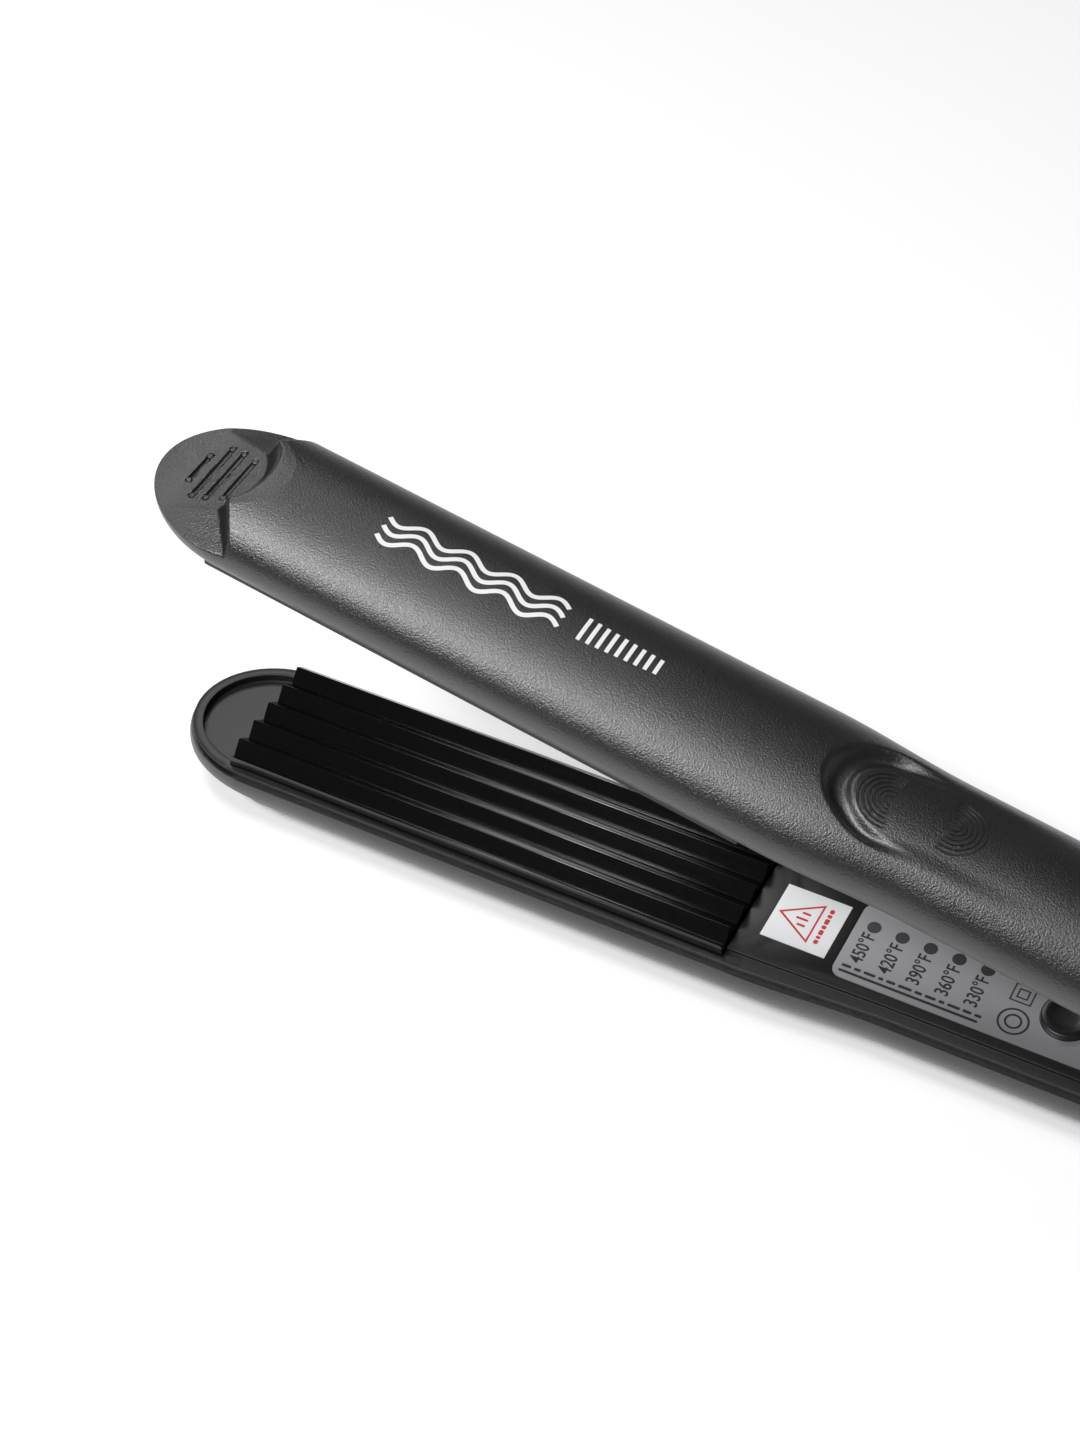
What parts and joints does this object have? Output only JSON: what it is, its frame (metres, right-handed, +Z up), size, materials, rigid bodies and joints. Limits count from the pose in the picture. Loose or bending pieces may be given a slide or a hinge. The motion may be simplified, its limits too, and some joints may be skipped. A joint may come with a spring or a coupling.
{
  "type": "hair crimper",
  "caption": "Slim hair crimper with two hinged arms, ridged heating plates, a control panel with a button, and a swivel cord gland.",
  "frame": {"origin": "middle of the flat strip on the back of the lower arm, which the crimper lies on", "axes": "+Z up, out of the back strip towards the lower arm's plate; +X along the lower arm from the tips towards the hinge; +Y across the arms, to the right when looking up from the hinge to the tips"},
  "size_m": [0.29, 0.03, 0.08],
  "materials": {
    "shell_black": "soft-touch matte",
    "gland_black": "matte",
    "cover_black": "satin",
    "plate_coating": "glossy black ceramic coating on aluminium",
    "ceramic": "matte, ceramic heater",
    "spring_steel": "bright",
    "silicone": "matte",
    "sensor_glass": "clear",
    "lead_sleeve": "matte silicone",
    "screw_steel": "satin",
    "label_foil": "satin foil",
    "panel_grey": "satin",
    "window_smoke": "smoked",
    "chip_white": "satin",
    "board_green": "satin",
    "switch_black": "matte",
    "button_black": "gloss",
    "washer_nylon": "matte",
    "cap_black": "satin"
  },
  "bodies": {
    "lower_arm": {"lower_shell": "shell_black", "tail_cover": "shell_black", "lower_inner_cover": "cover_black", "lower_crimp_plate": "plate_coating", "lower_heater": "ceramic", "lower_heater_clamp": "spring_steel", "lower_plate_cushions": "silicone", "lower_heat_sensor": "sensor_glass", "lower_heater_leads": "lead_sleeve", "lower_cover_screws": "screw_steel", "board_screws": "screw_steel", "thermal_fuse": "screw_steel", "heat_label": "label_foil", "control_panel": "panel_grey", "led_windows": "window_smoke", "led_chips": "chip_white", "circuit_board": "board_green", "tact_switch": "switch_black", "hinge_pin": "screw_steel", "hinge_washers": "washer_nylon", "hinge_caps": "cap_black", "opening_spring": "spring_steel"},
    "upper_arm": {"upper_shell": "shell_black", "upper_inner_cover": "cover_black", "upper_crimp_plate": "plate_coating", "upper_heater": "ceramic", "upper_heater_clamp": "spring_steel", "upper_plate_cushions": "silicone", "upper_heat_sensor": "sensor_glass", "upper_heater_leads": "lead_sleeve", "upper_cover_screws": "screw_steel"},
    "button": {"power_button": "button_black"},
    "gland": {"swivel_gland": "gland_black"}
  },
  "joints": [
    {"name": "arm_close", "type": "hinge", "parent": "lower_arm", "child": "upper_arm", "pos_m": [0.1735, 0, 0.01475], "axis": [0, -1, 0], "range_deg": [0, 13.1], "stiffness_Nm_per_rad": 0.45, "springref_deg": -51.57},
    {"name": "button_press", "type": "slide", "parent": "lower_arm", "child": "button", "axis": [0, 0, -1], "range_m": [0, 0.0005], "stiffness_N_per_m": 1500, "springref_m": -0.001},
    {"name": "gland_turn", "type": "hinge", "parent": "lower_arm", "child": "gland", "pos_m": [0.2035, 0, 0.01475], "axis": [1, 0, 0], "continuous": true}
  ]
}
